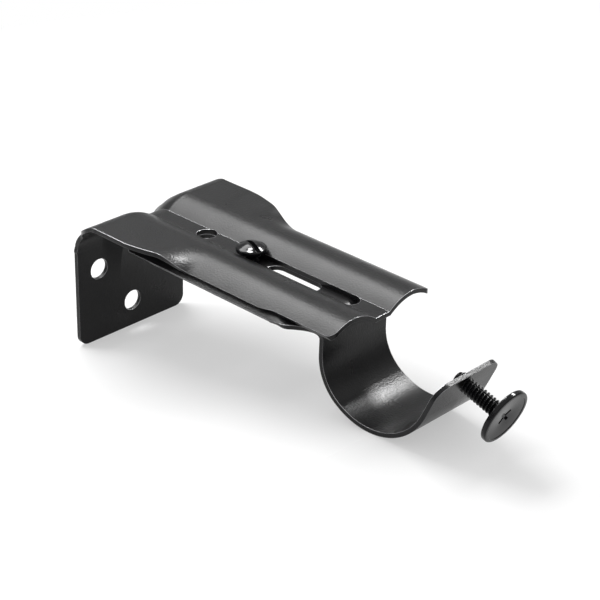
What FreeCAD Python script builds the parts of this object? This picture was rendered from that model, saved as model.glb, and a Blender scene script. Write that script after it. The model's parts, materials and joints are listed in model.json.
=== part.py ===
# Adjustable curtain pole bracket
# Two pressed steel arms lie one under the other and slide, a pan head screw clamps them together,
# and a screw with a wide disc head holds the pole in the cup.
# Millimetres. +X points out from the wall, +Y along the wall, +Z up.
# The origin is the middle of the flat back of the wall plate.

import FreeCAD, Part
import math
import os

# Sheet and the running gap between the two arms
sheet = 1.2
slide_gap = 0.15

# Wall plate
plate_width = 37.6
plate_height = 27.8
plate_corner = 3.0
plate_hole = 5.8
upper_hole_spread = 23.0
upper_hole_rise = 7.2
lower_hole_drop = 6.3

# Bend from the plate to the arm, measured on the outside
bend_radius = 8.5

# The valley takes the bend in a wider curve, so it also shows as a groove in the plate
groove_reach = 14.0
groove_drop = 24.0
groove_width = 8.4

# Wall arm: widths, and how far from the wall each one starts and ends
arm_reach = 91.2
wing_width = 45.6
arm_width = 36.9
tip_width = 35.6
tip_corner = 2.3
wing_start = 1.5
wing_end = 10.0
narrow_start = 23.5
narrow_end = 46.3
step_start = 67.5
step_end = 73.0

# Ribs pressed into both arms, either side of a flat valley
valley_width = 4.8
valley_lift = 1.8
rib_height = 2.8
crest_spread = 20.7
edge_fall = 3.0
rib_start = 3.3
rib_end = 13.4
fall_start = 34.0
fall_end = 45.4

# Round hole and long slot in the wall arm. The slot starts this far behind the clamp screw
arm_hole = 5.4
arm_hole_reach = 30.8
slot_width = 5.0
slot_behind = 3.5
slot_end = 83.2

# Cup arm, with the two arms pushed fully together
cup_arm_width = 37.4
cup_arm_start = 20.0
cup_arm_corner = 2.5
window_width = 5.6
window_start = 53.2
window_end = 70.2

# Neck down to the pole cup, the cup's tighter inner corner, its main curve, and the tab after it
neck_radius = 4.7
cup_wall_reach = 82.8
cup_drop = 4.4
cup_corner_radius = 12.0
cup_corner_turn = 58.0
cup_radius = 17.5
cup_width = 22.8
rib_fade = 7.0
shoulder_before = 2.0
tab_lean = 23.5
tab_length = 9.0
tab_corner = 4.0

# Clamp screw, through the slot and into a threaded collar drawn out of the cup arm
clamp_reach = 47.1
clamp_thread = 4.0
clamp_head = 8.0
clamp_head_height = 2.3
clamp_head_side = 0.9
clamp_head_shoulder = 0.6
clamp_length = 9.0
clamp_slot_width = 1.2
clamp_slot_depth = 1.2
clamp_slot_turn = -16.0
thread_gap = 0.05
collar_wall = 1.2
collar_depth = 2.4
screw_tip = 0.5

# Set screw, through the tab
set_thread = 4.0
set_lean = 17.0
set_below_top = 3.2
set_stand_out = 11.2
set_inside = 1.6
set_disc = 14.2
set_disc_thickness = 1.4
set_disc_chamfer = 0.3
set_disc_rim = 0.9
set_disc_dish = 0.35
cross_span = 4.2
cross_width = 1.0
cross_depth = 0.8

# Steps along each sheet where its shape changes
step_along = 3.0
fewest_steps = 4
bend_steps = 8

# Sizes that follow from the ones above
arm_level = plate_height / 2 + bend_radius
valley = valley_width / 2
crest = crest_spread / 2
edge_curve = edge_fall / (arm_width / 2 - crest) ** 2
cup_top_depth = sheet + slide_gap
cup_level = arm_level + valley_lift - cup_top_depth
groove_bottom = arm_level + valley_lift - groove_drop
slot_start = clamp_reach - slot_behind
neck_start = cup_wall_reach - neck_radius
neck_end = neck_start + neck_radius * math.pi / 2
corner_start = neck_end + cup_drop
shoulder_start = neck_start - shoulder_before
corner_end = corner_start + cup_corner_radius * math.radians(cup_corner_turn)
cup_end = corner_end + cup_radius * math.radians(180.0 - tab_lean - cup_corner_turn)
tab_end = cup_end + tab_length

os.makedirs("parts", exist_ok=True)


def ease(value, start, end):
    """Rise smoothly from 0 at the start to 1 at the end."""
    share = min(max((value - start) / (end - start), 0.0), 1.0)
    return share * share * (3.0 - 2.0 * share)


def flank_height(across, rise):
    """Height above the valley floor of the rib's inner flank, at a distance from the centre line."""
    return rise * (1.0 - ((crest - across) / (crest - valley)) ** 2)


def half_corners(end, floor, rise, fall, depth):
    """Corners that steer half a section, at a depth below its upper face, from the valley to the edge.
    The first three steer the rib's inner flank and the last three its outer flank. Where the sheet
    narrows to a flat strip, the middle one stays inside the strip."""
    peak = min(crest, end - valley)
    drop = fall * edge_curve * (end - peak) ** 2
    inner_lean = math.atan(2.0 * rise / (peak - floor))
    outer_lean = math.atan(-2.0 * drop / (end - peak))
    inner_shift = depth * math.tan(inner_lean / 2)
    outer_shift = depth * math.tan(outer_lean / 2)
    return [
        (floor + inner_shift, -depth),
        ((floor + peak) / 2 + inner_shift, rise - depth),
        (peak, rise - depth),
        ((peak + end) / 2 + outer_shift, rise - depth),
        (end + depth * math.sin(outer_lean), rise - drop - depth * math.cos(outer_lean)),
    ]


def curve_end(half_width, depth, fall):
    """Where on the upper face to stop, so that the face at a depth below it has the half width."""
    end = half_width
    for _ in range(6):
        end = half_width - depth * math.sin(math.atan(-2.0 * fall * edge_curve * (end - crest)))
    return end


def flank(corners, flat):
    """A parabolic edge that starts and ends on its outer corners and is steered by the middle one. It
    is a straight edge where the sheet is flat."""
    if flat:
        return Part.LineSegment(corners[0], corners[-1]).toShape()
    curve = Part.BezierCurve()
    curve.setPoles(corners)
    return curve.toShape()


def section(frame, half_width, floor, rise, fall, top, bottom):
    """Closed outline of the sheet across its path, between two depths below the upper face."""
    base, normal = frame

    def place(corners, side):
        return [base + FreeCAD.Vector(0, side * across, 0) + normal * height for across, height in corners]

    end = curve_end(half_width, top, fall)
    upper = half_corners(end, floor, rise, fall, top)
    lower = half_corners(end, floor, rise, fall, bottom)
    outline = [
        place(upper, -1)[::-1],
        place(upper, 1),
        place(lower, 1)[::-1],
        place(lower, -1),
    ]
    flat = rise == 0.0 and fall == 0.0
    edges = []
    for run, following in zip(outline, outline[1:] + outline[:1]):
        edges += [flank(run[:3], flat), flank(run[2:], flat)]
        edges.append(Part.LineSegment(run[-1], following[0]).toShape())
    return Part.Wire(edges)


def spread(start, end, count):
    """Evenly spaced values from start to end, both included."""
    return [start + (end - start) * index / count for index in range(count + 1)]


def merged(ranges):
    """Ranges in order, with those that overlap joined into one."""
    joined = []
    for start, end in sorted(ranges):
        if joined and start <= joined[-1][1]:
            joined[-1] = (joined[-1][0], max(end, joined[-1][1]))
        else:
            joined.append((start, end))
    return joined


def lengthened(runs, end):
    """The runs, carried on in even steps to a new end."""
    length = end - runs[-1]
    count = max(math.ceil(length / step_along), fewest_steps)
    return runs + spread(runs[-1], end, count)[1:]


def lofted(section_at, runs):
    """Faces of a stretch. Through two sections it is straight, and through more it runs smoothly."""
    wires = [section_at(run) for run in runs]
    return Part.makeLoft(wires, False, len(wires) == 2).Faces


def sweep(section_at, stretches, rounds=()):
    """One solid, made of its lofted stretches and of round ones. A round one is the run that it starts
    at, the centre that its section turns about and the angle in degrees."""
    faces = []
    for runs in stretches:
        faces += lofted(section_at, runs)
    for start, centre, angle in rounds:
        faces += section_at(start).revolve(centre, FreeCAD.Vector(0, -1, 0), angle).Faces
    faces.append(Part.Face(section_at(stretches[0][0])))
    faces.append(Part.Face(section_at(stretches[-1][-1])))
    skin = Part.Compound(faces)
    skin.sewShape()
    return Part.Solid(skin.Shells[0])


def cylinder(radius, length, base, direction):
    """A solid cylinder that starts at a point and runs along a direction."""
    return Part.makeCylinder(radius, length, base, direction)


def slot_cutter(width, start, end, bottom, top):
    """A round-ended bar that cuts a slot along the arm."""
    radius = width / 2
    up = FreeCAD.Vector(0, 0, 1)
    depth = top - bottom
    bar = Part.makeBox(end - start - width, width, depth, FreeCAD.Vector(start + radius, -radius, bottom))
    near_end = cylinder(radius, depth, FreeCAD.Vector(start + radius, 0, bottom), up)
    far_end = cylinder(radius, depth, FreeCAD.Vector(end - radius, 0, bottom), up)
    return bar.fuse([near_end, far_end])


def corner_cutter(radius, corner, inward_x, inward_y, depth_axis, depth):
    """What is cut away to round a square corner: a small box less the rounding cylinder."""
    over = 1.0
    centre = corner + (inward_x + inward_y) * radius
    outer = corner - (inward_x + inward_y) * over
    sides = [outer, outer + inward_x * (radius + over), centre, outer + inward_y * (radius + over)]
    square = Part.Face(Part.makePolygon(sides + [outer])).extrude(depth_axis * depth)
    return square.cut(cylinder(radius, depth, centre, depth_axis))


def wall_frame(run):
    """Point and outward normal on the wall arm. The run is 0 where the bend meets the straight arm."""
    turn = min(max(-run / bend_radius, 0.0), math.pi / 2)
    below = min(run + bend_radius * math.pi / 2, 0.0)
    normal = FreeCAD.Vector(-math.sin(turn), 0, math.cos(turn))
    centre = FreeCAD.Vector(bend_radius + max(run, 0.0), 0, arm_level - bend_radius + below)
    return centre + normal * bend_radius, normal


def valley_height(point, normal):
    """Height of the valley floor above a point of the bend's outer face, along its normal."""
    if point.z <= groove_bottom:
        return 0.0
    if point.x >= groove_reach:
        return valley_lift
    along_x = normal.x / groove_reach
    along_z = normal.z / groove_drop
    from_x = (point.x - groove_reach) / groove_reach
    from_z = (point.z - groove_bottom) / groove_drop
    square = along_x ** 2 + along_z ** 2
    middle = along_x * from_x + along_z * from_z
    rest = from_x ** 2 + from_z ** 2 - 1.0
    return (math.sqrt(middle ** 2 - square * rest) - middle) / square


def wall_section(run):
    """One section of the wall arm with its own width, ribs and edge."""
    reach = run + bend_radius
    half_width = plate_width / 2
    half_width += (wing_width - plate_width) / 2 * ease(reach, wing_start, wing_end)
    half_width -= (wing_width - arm_width) / 2 * ease(reach, narrow_start, narrow_end)
    half_width -= (arm_width - tip_width) / 2 * ease(reach, step_start, step_end)
    fall = ease(reach, fall_start, fall_end)
    base, normal = wall_frame(run)
    lift = valley_height(base, normal)
    rise = (valley_lift + rib_height) * ease(reach, rib_start, rib_end) - lift
    floor = groove_width / 2 + (valley_width - groove_width) / 2 * ease(reach, rib_start, groove_reach)
    return section((base + normal * lift, normal), half_width, floor, rise, fall, 0.0, sheet)


def make_wall_arm():
    """Wall plate, bend and the upper ribbed arm."""
    bend_start = -bend_radius * math.pi / 2
    grooved = plate_height / 2 - groove_bottom
    stretches = [lengthened([bend_start - grooved], bend_start)]
    runs = spread(bend_start, 0.0, bend_steps)
    changes = [
        (wing_start, wing_end),
        (rib_start, rib_end),
        (rib_start, groove_reach),
        (narrow_start, narrow_end),
        (fall_start, fall_end),
        (step_start, step_end),
    ]
    for start, end in merged(changes):
        if start - bend_radius > runs[-1]:
            stretches += [runs, [runs[-1], start - bend_radius]]
            runs = [start - bend_radius]
        if end - bend_radius > runs[-1]:
            runs = lengthened(runs, end - bend_radius)
    tip = arm_reach - bend_radius
    stretches += [runs, [runs[-1], tip - tip_corner], [tip - tip_corner, tip]]
    arm = sweep(wall_section, stretches)

    corner = FreeCAD.Vector(0, -plate_width / 2, -plate_height / 2)
    plate = Part.makeBox(sheet, plate_width, plate_height / 2 + groove_bottom, corner)
    outward = FreeCAD.Vector(1, 0, 0)
    along = FreeCAD.Vector(0, 1, 0)
    up = FreeCAD.Vector(0, 0, 1)
    plate = plate.cut(corner_cutter(plate_corner, corner, along, up, outward, sheet))
    plate = plate.cut(corner_cutter(plate_corner, corner + along * plate_width, -along, up, outward, sheet))

    bottom = arm_level - sheet
    depth = valley_lift + rib_height + 2 * sheet
    hole = cylinder(arm_hole / 2, depth, FreeCAD.Vector(arm_hole_reach, 0, bottom), up)
    arm = arm.cut(hole)
    arm = arm.cut(slot_cutter(slot_width, slot_start, slot_end, bottom, bottom + depth))
    for side in (-1, 1):
        corner = FreeCAD.Vector(arm_reach, side * tip_width / 2, bottom - edge_fall)
        arm = arm.cut(corner_cutter(tip_corner, corner, -outward, along * -side, up, depth + edge_fall))
    whole = plate.fuse(arm).removeSplitter()
    holes = [
        (-upper_hole_spread / 2, upper_hole_rise),
        (upper_hole_spread / 2, upper_hole_rise),
        (0.0, -lower_hole_drop),
    ]
    for across, level in holes:
        start = FreeCAD.Vector(-sheet, across, level)
        whole = whole.cut(cylinder(plate_hole / 2, 3 * sheet, start, outward))
    return whole


def cup_centres():
    """Centres of the cup's inner corner and of its main curve."""
    corner_centre = FreeCAD.Vector(cup_wall_reach + cup_corner_radius, 0, cup_level - neck_radius - cup_drop)
    turn = math.radians(cup_corner_turn)
    along = FreeCAD.Vector(math.cos(turn), 0, math.sin(turn))
    return corner_centre, corner_centre + along * (cup_radius - cup_corner_radius)


def cup_frame(run):
    """Point and normal on the cup arm. The run is its length, counted as reach up to the neck."""
    if run < neck_start:
        return FreeCAD.Vector(run, 0, cup_level), FreeCAD.Vector(0, 0, 1)
    corner_centre, centre = cup_centres()
    if run < neck_end:
        turn = (run - neck_start) / neck_radius
        normal = FreeCAD.Vector(math.sin(turn), 0, math.cos(turn))
        neck_centre = FreeCAD.Vector(neck_start, 0, cup_level - neck_radius)
        return neck_centre + normal * neck_radius, normal
    if run < corner_start:
        wall = corner_centre - FreeCAD.Vector(cup_corner_radius, 0, 0)
        return wall + FreeCAD.Vector(0, 0, corner_start - run), FreeCAD.Vector(1, 0, 0)
    if run < corner_end:
        turn = (run - corner_start) / cup_corner_radius
        normal = FreeCAD.Vector(math.cos(turn), 0, math.sin(turn))
        return corner_centre - normal * cup_corner_radius, normal
    turn = math.radians(cup_corner_turn) + (min(run, cup_end) - corner_end) / cup_radius
    normal = FreeCAD.Vector(math.cos(turn), 0, math.sin(turn))
    tangent = FreeCAD.Vector(math.sin(turn), 0, -math.cos(turn))
    return centre - normal * cup_radius + tangent * max(run - cup_end, 0.0), normal


def cup_section(run):
    """One section of the cup arm. Its ribs fade out before the neck and its width at the shoulder."""
    narrow = ease(run, shoulder_start, neck_end)
    half_width = cup_arm_width / 2 + (cup_width - cup_arm_width) / 2 * narrow
    rib = 1.0 - ease(run, neck_start - rib_fade, neck_start + neck_radius / 2)
    top = cup_top_depth * rib
    base, normal = cup_frame(run)
    lifted = base + normal * top
    return section((lifted, normal), half_width, valley, rib_height * rib, rib, top, top + sheet)


def make_cup_arm():
    """Lower ribbed arm, neck, pole cup and tab."""
    fade_start = neck_start - rib_fade
    stretches = [
        [cup_arm_start, cup_arm_start + cup_arm_corner],
        [cup_arm_start + cup_arm_corner, fade_start],
        spread(fade_start, neck_end, bend_steps),
        [neck_end, corner_start],
        [cup_end, tab_end],
    ]
    corner_centre, centre = cup_centres()
    rounds = [
        (corner_start, corner_centre, cup_corner_turn),
        (corner_end, centre, 180.0 - tab_lean - cup_corner_turn),
    ]
    arm = sweep(cup_section, stretches, rounds)

    up = FreeCAD.Vector(0, 0, 1)
    outward = FreeCAD.Vector(1, 0, 0)
    along = FreeCAD.Vector(0, 1, 0)
    bottom = cup_level - 2 * sheet
    depth = rib_height + 4 * sheet
    collar_top = FreeCAD.Vector(clamp_reach, 0, cup_level - sheet / 2)
    collar = cylinder(clamp_thread / 2 + thread_gap + collar_wall, collar_depth + sheet / 2, collar_top, -up)
    arm = arm.fuse(collar)
    clamp_hole = cylinder(clamp_thread / 2 + thread_gap, collar_depth + 3 * sheet,
                          FreeCAD.Vector(clamp_reach, 0, cup_level + sheet), -up)
    arm = arm.cut(clamp_hole)
    arm = arm.cut(cylinder(arm_hole / 2, depth, FreeCAD.Vector(arm_hole_reach, 0, bottom), up))
    arm = arm.cut(slot_cutter(window_width, window_start, window_end, bottom, bottom + depth))
    for side in (-1, 1):
        end = FreeCAD.Vector(cup_arm_start, side * cup_arm_width / 2, bottom - edge_fall)
        arm = arm.cut(corner_cutter(cup_arm_corner, end, outward, along * -side, up, depth + edge_fall))

    end, normal = cup_frame(tab_end)
    before, normal = cup_frame(cup_end)
    back = (before - end).normalize()
    for side in (-1, 1):
        corner = end + FreeCAD.Vector(0, side * cup_width / 2, 0) + normal * sheet
        arm = arm.cut(corner_cutter(tab_corner, corner, back, along * -side, -normal, 3 * sheet))
    hole_start, direction = set_screw_axis()
    hole_start += direction * sheet
    arm = arm.cut(cylinder(set_thread / 2 + thread_gap, 4 * sheet, hole_start, -direction))
    return arm.removeSplitter()


def set_screw_axis():
    """Where the set screw's axis leaves the outer face of the tab, and its outward direction."""
    end, normal = cup_frame(tab_end)
    before, normal = cup_frame(cup_end)
    back = (before - end).normalize()
    lean = math.radians(set_lean)
    return end + back * set_below_top - normal * sheet, FreeCAD.Vector(math.cos(lean), 0, -math.sin(lean))


def turned(corners, crown=0.0):
    """A solid turned about Z from the corners of its half outline, which starts on the axis. It ends
    there too, or on the rim of a dome of the crown's height."""
    points = [FreeCAD.Vector(radius, 0, level) for radius, level in corners]
    edges = [Part.LineSegment(first, second).toShape() for first, second in zip(points, points[1:])]
    if crown:
        rim, level = corners[-1]
        dome_radius = (rim ** 2 + crown ** 2) / (2 * crown)
        centre = level + crown - dome_radius
        half_angle = math.asin(rim / dome_radius) / 2
        from_centre = FreeCAD.Vector(math.sin(half_angle), 0, math.cos(half_angle)) * dome_radius
        middle = FreeCAD.Vector(0, 0, centre) + from_centre
        points.append(FreeCAD.Vector(0, 0, level + crown))
        edges.append(Part.Arc(points[-2], middle, points[-1]).toShape())
    edges.append(Part.LineSegment(points[-1], points[0]).toShape())
    face = Part.Face(Part.Wire(edges))
    return face.revolve(FreeCAD.Vector(0, 0, 0), FreeCAD.Vector(0, 0, 1), 360.0)


def shank_corners(radius, length):
    """Half outline of a screw's shank below its head, with a chamfered tip."""
    return [(0.0, -length), (radius - screw_tip, -length), (radius, screw_tip - length), (radius, 0.0)]


def recess(length, width, depth, level, turn):
    """A bar across the axis that cuts a driver's recess down from a level."""
    bar = Part.makeBox(length, width, 2 * depth, FreeCAD.Vector(-length / 2, -width / 2, level - depth))
    bar.rotate(FreeCAD.Vector(0, 0, 0), FreeCAD.Vector(0, 0, 1), turn)
    return bar


def make_clamp_screw():
    """Slotted pan head screw. Its head rests on the two flanks of the upper valley."""
    radius = clamp_head / 2
    shoulder = clamp_head_side + clamp_head_shoulder
    corners = shank_corners(clamp_thread / 2, clamp_length)
    corners += [(radius, 0.0), (radius, clamp_head_side), (radius - clamp_head_shoulder, shoulder)]
    screw = turned(corners, clamp_head_height - shoulder)
    screw = screw.cut(recess(2 * clamp_head, clamp_slot_width, clamp_slot_depth, clamp_head_height,
                             clamp_slot_turn))
    seat = arm_level + valley_lift + flank_height(radius, rib_height)
    screw.translate(FreeCAD.Vector(clamp_reach, 0, seat))
    return screw


def make_set_screw():
    """Screw with a wide thin disc head, dished inside its rim, that has a cross recess."""
    start, direction = set_screw_axis()
    radius = set_disc / 2
    corners = shank_corners(set_thread / 2, set_stand_out + sheet + set_inside)
    floor = set_disc_thickness - set_disc_dish
    corners += [
        (radius - set_disc_chamfer, 0.0),
        (radius, set_disc_chamfer),
        (radius, set_disc_thickness - set_disc_chamfer),
        (radius - set_disc_chamfer, set_disc_thickness),
        (radius - set_disc_rim, set_disc_thickness),
        (0.0, floor),
    ]
    screw = turned(corners)
    for turn in (45.0, 135.0):
        screw = screw.cut(recess(cross_span, cross_width, cross_depth, floor, turn))
    screw.rotate(FreeCAD.Vector(0, 0, 0), FreeCAD.Vector(0, 1, 0), 90.0 + set_lean)
    screw.translate(start + direction * set_stand_out)
    return screw


solids = {
    "wall_arm": make_wall_arm(),
    "cup_arm": make_cup_arm(),
    "clamp_screw": make_clamp_screw(),
    "set_screw": make_set_screw(),
}
for node, shape in solids.items():
    shape.exportStep("parts/" + node + ".step")
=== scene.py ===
import json
import math
import bpy
import bmesh
from mathutils import Matrix, Vector


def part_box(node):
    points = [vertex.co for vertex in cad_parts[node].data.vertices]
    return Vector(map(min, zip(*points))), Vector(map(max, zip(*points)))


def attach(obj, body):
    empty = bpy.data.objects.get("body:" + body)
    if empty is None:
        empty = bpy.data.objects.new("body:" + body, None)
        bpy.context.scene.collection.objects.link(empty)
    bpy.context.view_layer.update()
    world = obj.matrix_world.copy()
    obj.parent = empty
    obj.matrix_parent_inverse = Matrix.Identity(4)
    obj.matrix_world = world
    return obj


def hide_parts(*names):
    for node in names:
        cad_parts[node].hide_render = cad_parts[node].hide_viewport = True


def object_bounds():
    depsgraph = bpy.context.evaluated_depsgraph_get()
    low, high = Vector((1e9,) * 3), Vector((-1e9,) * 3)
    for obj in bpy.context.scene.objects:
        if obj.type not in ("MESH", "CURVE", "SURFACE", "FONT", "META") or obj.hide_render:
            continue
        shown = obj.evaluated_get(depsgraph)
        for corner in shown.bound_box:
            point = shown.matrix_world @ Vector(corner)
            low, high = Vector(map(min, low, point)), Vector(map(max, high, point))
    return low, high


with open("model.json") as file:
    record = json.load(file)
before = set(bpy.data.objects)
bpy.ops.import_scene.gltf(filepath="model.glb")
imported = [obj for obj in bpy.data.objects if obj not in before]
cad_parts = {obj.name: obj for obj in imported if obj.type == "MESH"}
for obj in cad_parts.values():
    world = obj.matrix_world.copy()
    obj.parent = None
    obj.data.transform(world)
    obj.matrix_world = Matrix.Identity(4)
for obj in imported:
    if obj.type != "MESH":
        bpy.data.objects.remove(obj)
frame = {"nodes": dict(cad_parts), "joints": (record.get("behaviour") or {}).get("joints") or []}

cad_low, cad_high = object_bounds()


# Wall arm and cup arm: two sheets of 1.2 mm mild steel, pierced, pressed over a die and then dipped.
# Their finish is black electrocoat, an even satin film that rounds the pierced edges a little and
# dries with a fine orange peel.
def linear(hex_colour):
    """An sRGB hex colour as linear red, green, blue and alpha."""
    channels = [int(hex_colour[start:start + 2], 16) / 255 for start in (0, 2, 4)]
    return [c / 12.92 if c <= 0.04045 else ((c + 0.055) / 1.055) ** 2.4 for c in channels] + [1.0]


def add(tree, kind, values, **settings):
    """Adds a shader node. A value that is another node's output is linked, and any other is set."""
    node = tree.nodes.new(kind)
    for name, value in settings.items():
        setattr(node, name, value)
    for name, value in values.items():
        if isinstance(value, bpy.types.NodeSocket):
            tree.links.new(value, node.inputs[name])
        else:
            node.inputs[name].default_value = value
    return node


def new_material(name):
    """An empty material, its node tree and its output node."""
    material = bpy.data.materials.new(name)
    material.use_nodes = True
    material.node_tree.nodes.clear()
    return material, material.node_tree, material.node_tree.nodes.new("ShaderNodeOutputMaterial")


def electrocoat():
    """Black electrocoat on pressed steel: satin, with a peel drawn a little coarse, so that the grain
    shows in the highlights. Along the edges that face up, a light grey metallic line is a painted
    highlight. Sizes are in mm."""
    peel_size = 0.45
    peel_height = 0.04
    cloud_size = 9.0
    edge_radius = 0.22
    edge_start = 0.992  # the painted highlight line fades in between these two cosines of the edge's turn
    edge_full = 0.92
    material, tree, output = new_material("black_electrocoat_on_pressed_steel")
    place = add(tree, "ShaderNodeTexCoord", {}).outputs["Object"]
    peel = add(tree, "ShaderNodeTexNoise", {"Vector": place, "Scale": 1000 / peel_size, "Detail": 0.5})
    cloud = add(tree, "ShaderNodeTexNoise", {"Vector": place, "Scale": 1000 / cloud_size, "Detail": 3.0})

    rounded = add(tree, "ShaderNodeBevel", {"Radius": edge_radius / 1000}, samples=8).outputs["Normal"]
    flat = add(tree, "ShaderNodeNewGeometry", {}).outputs["Normal"]
    turned = add(tree, "ShaderNodeVectorMath", {0: rounded, 1: flat}, operation="DOT_PRODUCT")
    # Painted highlight along the edges: this mask is where the rounded edges turn, and it is stronger
    # where they face up to the lamps.
    sharp = add(tree, "ShaderNodeMapRange", {
        "Value": turned.outputs["Value"], "From Min": edge_start, "From Max": edge_full,
    })
    highlight_facing_up = add(tree, "ShaderNodeMapRange", {
        "Value": add(tree, "ShaderNodeSeparateXYZ", {0: rounded}).outputs["Z"],
        "From Min": -0.1, "From Max": 0.5, "To Min": 0.1, "To Max": 1.0,
    })
    painted_edge_highlight = add(tree, "ShaderNodeMath", {
        0: sharp.outputs["Result"], 1: highlight_facing_up.outputs["Result"],
    }, operation="MULTIPLY").outputs[0]
    away_from_edge_highlight = add(tree, "ShaderNodeMath", {0: 1.0, 1: painted_edge_highlight}, operation="SUBTRACT").outputs[0]

    film = add(tree, "ShaderNodeMix", {
        "Factor": cloud.outputs["Fac"], "A": linear("0e0e0f"), "B": linear("141415"),
    }, data_type="RGBA")
    # The painted edge highlight is mixed into the coat's colour in light grey, and it makes those edges
    # metallic too.
    colour = add(tree, "ShaderNodeMix", {
        "Factor": painted_edge_highlight, "A": film.outputs["Result"], "B": linear("b4b4b6"),
    }, data_type="RGBA")
    gloss = add(tree, "ShaderNodeMapRange", {
        "Value": cloud.outputs["Fac"], "From Min": 0.3, "From Max": 0.7, "To Min": 0.27, "To Max": 0.33,
    })
    bump = add(tree, "ShaderNodeBump", {
        "Height": peel.outputs["Fac"], "Strength": away_from_edge_highlight, "Distance": peel_height / 1000,
        "Normal": rounded,
    })
    coat = add(tree, "ShaderNodeBsdfPrincipled", {
        "Base Color": colour.outputs["Result"], "Roughness": gloss.outputs["Result"],
        "Metallic": painted_edge_highlight, "Specular IOR Level": 0.2, "Normal": bump.outputs["Normal"],
    })
    tree.links.new(coat.outputs["BSDF"], output.inputs["Surface"])
    return material


sheet_coat = electrocoat()
for node in ("wall_arm", "cup_arm"):
    for material_slot in frame["nodes"][node].material_slots:
        material_slot.material = sheet_coat


# Clamp screw: a slotted pan head M4 machine screw, cold headed, with a rolled thread. It is plated
# black and stays glossier than the sheets. The thread is drawn a little coarse so that it shows.
def black_plating():
    """Black passivated zinc on a rolled and headed screw: glossy, nearly black, faintly uneven. Sizes
    are in mm."""
    spot_size = 0.8
    spot_height = 0.02
    edge_radius = 0.12
    material, tree, output = new_material("black_zinc_plated_steel")
    place = add(tree, "ShaderNodeTexCoord", {}).outputs["Object"]
    spots = add(tree, "ShaderNodeTexNoise", {"Vector": place, "Scale": 1000 / spot_size, "Detail": 3.0})
    gloss = add(tree, "ShaderNodeMapRange", {
        "Value": spots.outputs["Fac"], "From Min": 0.3, "From Max": 0.7, "To Min": 0.1, "To Max": 0.15,
    })
    rounded = add(tree, "ShaderNodeBevel", {"Radius": edge_radius / 1000}, samples=6).outputs["Normal"]
    bump = add(tree, "ShaderNodeBump", {
        "Height": spots.outputs["Fac"], "Strength": 0.15, "Distance": spot_height / 1000,
        "Normal": rounded,
    })
    plating = add(tree, "ShaderNodeBsdfPrincipled", {
        "Base Color": linear("08080a"), "Roughness": gloss.outputs["Result"],
        "Specular IOR Level": 0.2, "Normal": bump.outputs["Normal"],
    })
    tree.links.new(plating.outputs["BSDF"], output.inputs["Surface"])
    return material


screw_plating = black_plating()


def screw_frame(node, direction):
    """Where a turned node's axis starts and ends along a direction, and its largest radius."""
    across = Vector((0, 1, 0)).cross(direction)
    low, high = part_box(node)
    points = [vertex.co for vertex in frame["nodes"][node].data.vertices]
    along = [point.dot(direction) for point in points]
    sideways = [point.dot(across) for point in points]
    middle = across * (min(sideways) + max(sideways)) / 2 + Vector((0, (low.y + high.y) / 2, 0))
    start = middle + direction * min(along)
    end = middle + direction * max(along)
    return start, end, (max(sideways) - min(sideways)) / 2


def ring(mesh, reaches, height):
    """A ring of vertices about Z at one height, with a reach from the axis for each."""
    angles = [2 * math.pi * index / len(reaches) for index in range(len(reaches))]
    return [mesh.verts.new((r * math.cos(a), r * math.sin(a), height)) for r, a in zip(reaches, angles)]


def skin(mesh, rings):
    """Joins each ring to the next with faces. A ring on the axis is one vertex, given again and again."""
    for lower, upper in zip(rings, rings[1:]):
        for index in range(len(lower)):
            following = (index + 1) % len(lower)
            corners = [lower[index], lower[following], upper[following], upper[index]]
            mesh.faces.new(list(dict.fromkeys(corners)))


def turn(mesh, outline, segments):
    """Adds a solid of revolution about Z. The outline runs from axis to axis as radius and height."""
    rings = []
    for radius, height in outline:
        if radius == 0.0:
            rings.append([mesh.verts.new((0, 0, height))] * segments)
        else:
            rings.append(ring(mesh, [radius] * segments, height))
    skin(mesh, rings)


def rolled_thread(mesh, radius, pitch, top):
    """Adds a closed shank with one helical thread, up Z from 0, which fades out at its tip."""
    segments = 48
    rows_per_pitch = 12
    depth = 0.6 * pitch
    steepness = 1.35  # steep enough to leave the crests flat
    root_flat = 0.1
    rows = math.ceil(top / pitch * rows_per_pitch)
    rings = []
    for row in range(rows + 1):
        height = top * row / rows
        tip_depth = max(0.0, 1.0 - height / pitch) * depth
        reaches = []
        for index in range(segments):
            phase = (height / pitch - index / segments) % 1.0
            ridge = min(1.0, max(0.0, steepness * (1.0 - abs(2.0 * phase - 1.0)) - root_flat))
            reaches.append(radius - max(tip_depth, depth * (1.0 - ridge)))
        rings.append(ring(mesh, reaches, height))
    skin(mesh, rings)
    mesh.faces.new(rings[0][::-1])
    mesh.faces.new(rings[-1])


def arc(centre_radius, centre_height, radius, from_angle, to_angle, steps):
    """Points of an arc in the plane of radius and height. Angles are in degrees from the radius."""
    sweep = to_angle - from_angle
    angles = [math.radians(from_angle + sweep * step / steps) for step in range(steps + 1)]
    return [(centre_radius + radius * math.cos(a), centre_height + radius * math.sin(a)) for a in angles]


def as_object(name, mesh):
    """Makes the mesh that was drawn into an object of the scene."""
    data = bpy.data.meshes.new(name)
    mesh.to_mesh(data)
    mesh.free()
    made = bpy.data.objects.new(name, data)
    bpy.context.scene.collection.objects.link(made)
    return made


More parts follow.
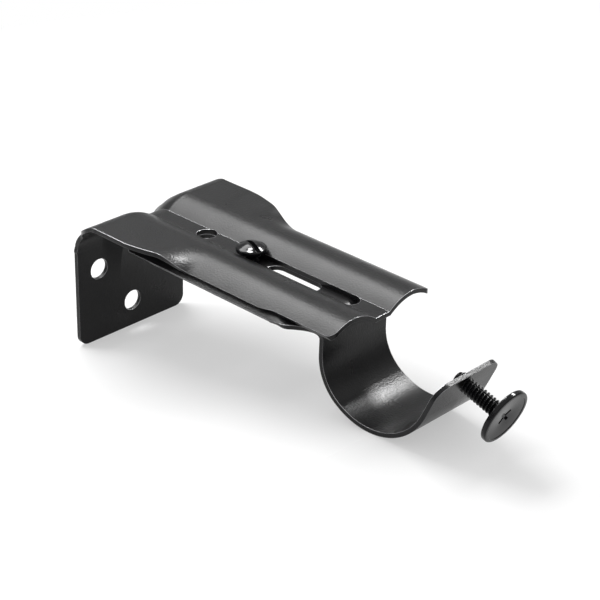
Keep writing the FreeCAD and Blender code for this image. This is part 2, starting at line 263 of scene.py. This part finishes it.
def cut_bar(piece, length, width, floor, angle):
    """Cuts one bar of a driver's recess out of a head, down to a floor and turned by degrees about Z."""
    tall = 4 * width
    move = Matrix.Rotation(math.radians(angle), 4, "Z") @ Matrix.Translation((0, 0, floor + tall / 2))
    mesh = bmesh.new()
    bmesh.ops.create_cube(mesh, size=1.0, matrix=move @ Matrix.Diagonal((length, width, tall, 1)))
    bar = as_object("bar", mesh)
    cut = piece.modifiers.new("recess", "BOOLEAN")
    cut.operation = "DIFFERENCE"
    cut.object = bar
    bpy.context.view_layer.update()
    shaped = piece.evaluated_get(bpy.context.evaluated_depsgraph_get())
    piece.data = bpy.data.meshes.new_from_object(shaped)
    piece.modifiers.clear()
    bpy.data.objects.remove(bar)


def finish_screw(name, mesh, bars, start, direction, node, body):
    """Makes the turned mesh a piece on its axis, cuts its recess, plates it and seats it on its body.
    Each bar of the recess is its length, width, floor level and turn in degrees."""
    smooth_below = math.radians(35)
    bmesh.ops.recalc_face_normals(mesh, faces=mesh.faces)
    piece = as_object(name, mesh)
    for bar in bars:
        cut_bar(piece, *bar)
    turn_to_axis = Vector((0, 0, 1)).rotation_difference(direction).to_matrix().to_4x4()
    piece.data.transform(Matrix.Translation(start) @ turn_to_axis)
    piece.data.materials.clear()
    piece.data.materials.append(screw_plating)
    piece.data.shade_smooth()
    piece.data.set_sharp_from_angle(angle=smooth_below)
    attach(piece, body)
    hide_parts(node)


clamp_up = Vector((0, 0, 1))
clamp_start, clamp_end, clamp_radius = screw_frame("clamp_screw", clamp_up)
clamp_length = (clamp_end - clamp_start).length
clamp_thread_radius = 0.002
clamp_pitch = 0.0008
clamp_overlap = 0.0003  # the shank runs this far into the head
head_height = 0.00228
head_chamfer = 0.0002
head_round = 0.0006
head_segments = 64
dome_radius = 0.0066
slot_length = 0.012  # longer than the head is wide, so the slot runs right across
slot_width = 0.0012
slot_depth = 0.0012
slot_turn = -16.0

head_level = clamp_length - head_height
dome_reach = clamp_radius - head_round
dome_centre = clamp_length - dome_radius
dome_tilt = math.degrees(math.asin(dome_reach / dome_radius))
dome_edge = dome_centre + dome_radius * math.cos(math.radians(dome_tilt))

clamp_mesh = bmesh.new()
rolled_thread(clamp_mesh, clamp_thread_radius, clamp_pitch, head_level + clamp_overlap)
outline = [(0.0, head_level), (clamp_radius - head_chamfer, head_level)]
outline += [(clamp_radius, head_level + head_chamfer)]
outline += arc(dome_reach, dome_edge - head_round, head_round, 0.0, 90.0 - dome_tilt / 2, 8)
outline += arc(0.0, dome_centre, dome_radius, 90.0 - dome_tilt, 90.0, 12)[1:-1]
outline += [(0.0, clamp_length)]
turn(clamp_mesh, outline, head_segments)
slot_bar = (slot_length, slot_width, clamp_length - slot_depth, slot_turn)
finish_screw("clamp_screw_slotted", clamp_mesh, [slot_bar], clamp_start, clamp_up, "clamp_screw", "clamp")


# Set screw: a machine screw with a wide thin disc for a head, dished inside a flat rim, with a small
# cross recess. It is plated black like the clamp screw. Its thread too is drawn coarse, and its dish
# deep, so that they show.
advance = [joint for joint in frame["joints"] if joint["name"] == "set_advance"][0]
set_outward = -Vector(advance["axis"]).normalized()
set_start, set_end, disc_radius = screw_frame("set_screw", set_outward)
set_length = (set_end - set_start).length
set_thread_radius = 0.00205
set_pitch = 0.00095
set_overlap = 0.00035  # the shank runs this far into the disc
disc_thickness = 0.0014
disc_edge = 0.00035
disc_rim = 0.0009
disc_step = 0.00015
disc_dish = 0.0008
disc_segments = 96
cross_span = 0.0042
cross_width = 0.0008
cross_depth = 0.0002

disc_back = set_length - disc_thickness
edge_centre = disc_radius - disc_edge
dish_reach = disc_radius - disc_rim

set_mesh = bmesh.new()
rolled_thread(set_mesh, set_thread_radius, set_pitch, disc_back + set_overlap)
outline = [(0.0, disc_back)]
outline += arc(edge_centre, disc_back + disc_edge, disc_edge, -90.0, 0.0, 5)
outline += arc(edge_centre, set_length - disc_edge, disc_edge, 0.0, 90.0, 5)
outline += [(dish_reach, set_length), (dish_reach - disc_step, set_length - disc_step)]
outline += [(dish_reach * share, set_length - disc_dish * (1 - share)) for share in (0.65, 0.35)]
outline += [(0.0, set_length - disc_dish)]
turn(set_mesh, outline, disc_segments)
cross_floor = set_length - disc_dish - cross_depth
cross_bars = [(cross_span, cross_width, cross_floor, angle) for angle in (45.0, 135.0)]
finish_screw("set_screw_disc_head", set_mesh, cross_bars, set_start, set_outward, "set_screw", "set")


# Table: a matt white sheet that the bracket rests on by the plate's lower edge and the cup's underside.
# The bracket keeps the frame it has on the wall, so the sheet rises from the plate to the cup. Past
# the cup it runs on level, and the cup stays on it when the arms are pulled apart.
plate_thickness = 0.0012
neck_reach = 0.08  # the cup and its tab lie further out than this
table_gap = 0.00005
table_reach = 3.0

foot = Vector((plate_thickness, 0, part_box("wall_arm")[0].z))
cup_arm_points = [vertex.co for vertex in frame["nodes"]["cup_arm"].data.vertices]
cup_points = [point for point in cup_arm_points if point.x > neck_reach]
cup_bottom = min(point.z for point in cup_points)
slope = min((point.z - foot.z) / (point.x - foot.x) for point in cup_points)
profile = [
    (foot.x - table_reach, foot.z - table_reach * slope),
    (foot.x + (cup_bottom - foot.z) / slope, cup_bottom),
    (table_reach, cup_bottom),
]
table_mesh = bmesh.new()
rows = []
for x, z in profile:
    rows.append([table_mesh.verts.new((x, side * table_reach, z - table_gap)) for side in (-1, 1)])
for near, far in zip(rows, rows[1:]):
    table_mesh.faces.new([near[0], far[0], far[1], near[1]])
table = as_object("table", table_mesh)


def seen(tree):
    """1 for rays from the camera, in gloss and through glass, where the background shows as it is."""
    path = add(tree, "ShaderNodeLightPath", {})
    direct = add(tree, "ShaderNodeMath", {
        0: path.outputs["Is Camera Ray"], 1: path.outputs["Is Glossy Ray"],
    }, operation="MAXIMUM")
    return add(tree, "ShaderNodeMath", {
        0: direct.outputs[0], 1: path.outputs["Is Transmission Ray"],
    }, operation="MAXIMUM").outputs[0]


# Matt white card. It takes the bracket's soft shadow, and passes into plain white away from it.
# Its underside is left clear, so that the bracket shows in a view from below.
white_near = 0.42
fade_start = 0.12
fade_end = 0.45
bracket_middle = (cad_low + cad_high) / 2
table_material, tree, output = new_material("matt_white_table")
paper = add(tree, "ShaderNodeBsdfDiffuse", {"Color": linear("e6e6e6")})
white = add(tree, "ShaderNodeEmission", {"Color": linear("ffffff"), "Strength": 1.0})
place = add(tree, "ShaderNodeTexCoord", {}).outputs["Object"]
away = add(tree, "ShaderNodeVectorMath", {0: place, 1: bracket_middle}, operation="DISTANCE")
fade = add(tree, "ShaderNodeMapRange", {
    "Value": away.outputs["Value"], "From Min": fade_start, "From Max": fade_end, "To Min": white_near,
})
share = add(tree, "ShaderNodeMath", {0: seen(tree), 1: fade.outputs["Result"]}, operation="MULTIPLY")
face = add(tree, "ShaderNodeMixShader", {
    0: share.outputs[0], 1: paper.outputs["BSDF"], 2: white.outputs["Emission"],
})
clear = add(tree, "ShaderNodeBsdfTransparent", {})
under = add(tree, "ShaderNodeNewGeometry", {}).outputs["Backfacing"]
one_sided = add(tree, "ShaderNodeMixShader", {
    0: under, 1: face.outputs["Shader"], 2: clear.outputs["BSDF"],
})
tree.links.new(one_sided.outputs["Shader"], output.inputs["Surface"])
table.data.materials.append(table_material)


# Grey cards: a ring of grey card round the table, out of the camera's sight. It only shows in
# reflections, where it keeps the tops of the black coat darker than the white room would.
card_radius = 0.9
card_height = 1.04
card_mesh = bmesh.new()
bmesh.ops.create_cone(
    card_mesh, cap_ends=False, segments=64, radius1=card_radius, radius2=card_radius, depth=card_height,
    matrix=Matrix.Translation(bracket_middle),
)
cards = as_object("grey_cards", card_mesh)
card_material, tree, output = new_material("grey_card")
board = add(tree, "ShaderNodeBsdfDiffuse", {"Color": linear("b0b0b0")})
tree.links.new(board.outputs["BSDF"], output.inputs["Surface"])
cards.data.materials.append(card_material)
cards.visible_camera = False
cards.visible_diffuse = False
cards.visible_shadow = False
cards.visible_transmission = False


# Light: a wide soft box high on the wall's side, and a pale room. Three small boxes draw the highlights
# in the cup, on the bend and along the near edges. They show in gloss only and cast no hard shadows.
world = bpy.data.worlds.new("pale_room")
bpy.context.scene.world = world
world.use_nodes = True
tree = world.node_tree
tree.nodes.clear()
room = add(tree, "ShaderNodeBackground", {"Color": linear("ffffff"), "Strength": 0.85})
backdrop = add(tree, "ShaderNodeBackground", {"Color": linear("ffffff"), "Strength": 1.0})
mixed = add(tree, "ShaderNodeMixShader", {
    0: seen(tree), 1: room.outputs["Background"], 2: backdrop.outputs["Background"],
})
add(tree, "ShaderNodeOutputWorld", {"Surface": mixed.outputs["Shader"]})


def soft_box(name, towards, width, height, power, gloss_only=True):
    """A rectangular lamp that faces the bracket's middle. It can be kept to what shows in gloss."""
    distance = 0.9
    lamp = bpy.data.lights.new(name, "AREA")
    lamp.shape = "RECTANGLE"
    lamp.size = width
    lamp.size_y = height
    lamp.energy = power
    holder = bpy.data.objects.new(name, lamp)
    direction = Vector(towards).normalized()
    holder.location = bracket_middle + direction * distance
    holder.rotation_euler = direction.to_track_quat("Z", "Y").to_euler()
    holder.visible_diffuse = not gloss_only
    bpy.context.scene.collection.objects.link(holder)


soft_box("main_soft_box", (-0.60, 0.05, 0.80), width=0.66, height=0.34, power=7.6, gloss_only=False)
soft_box("cup_soft_box", (-0.04, 0.66, 0.75), width=0.24, height=0.12, power=7.0)
soft_box("top_soft_box", (-0.29, 0.17, 0.94), width=0.20, height=0.14, power=7.5)
soft_box("edge_soft_box", (-0.60, -0.50, 0.62), width=0.10, height=0.10, power=0.9)


# Camera: a long lens at 0.4 m, low over the near side, with the wall plate on the left.
# Its place, aim, roll and lens were solved from the photo together with the bracket's sizes.
camera_place = Vector((0.32547, -0.27858, 0.21878))
camera_aim = Vector((0.08335, -0.02035, 0.03251))
camera_roll = 1.67
camera_data = bpy.data.cameras.new("camera")
camera_data.sensor_fit = "HORIZONTAL"
camera_data.sensor_width = 36.0
camera_data.lens = 104.86
camera_data.clip_start = 0.01
camera = bpy.data.objects.new("camera", camera_data)
aim = (camera_aim - camera_place).to_track_quat("-Z", "Y").to_matrix().to_4x4()
roll = Matrix.Rotation(math.radians(camera_roll), 4, "Z")
camera.matrix_world = Matrix.Translation(camera_place) @ aim @ roll
bpy.context.scene.collection.objects.link(camera)
bpy.context.scene.camera = camera
bpy.context.scene.view_settings.view_transform = "Standard"
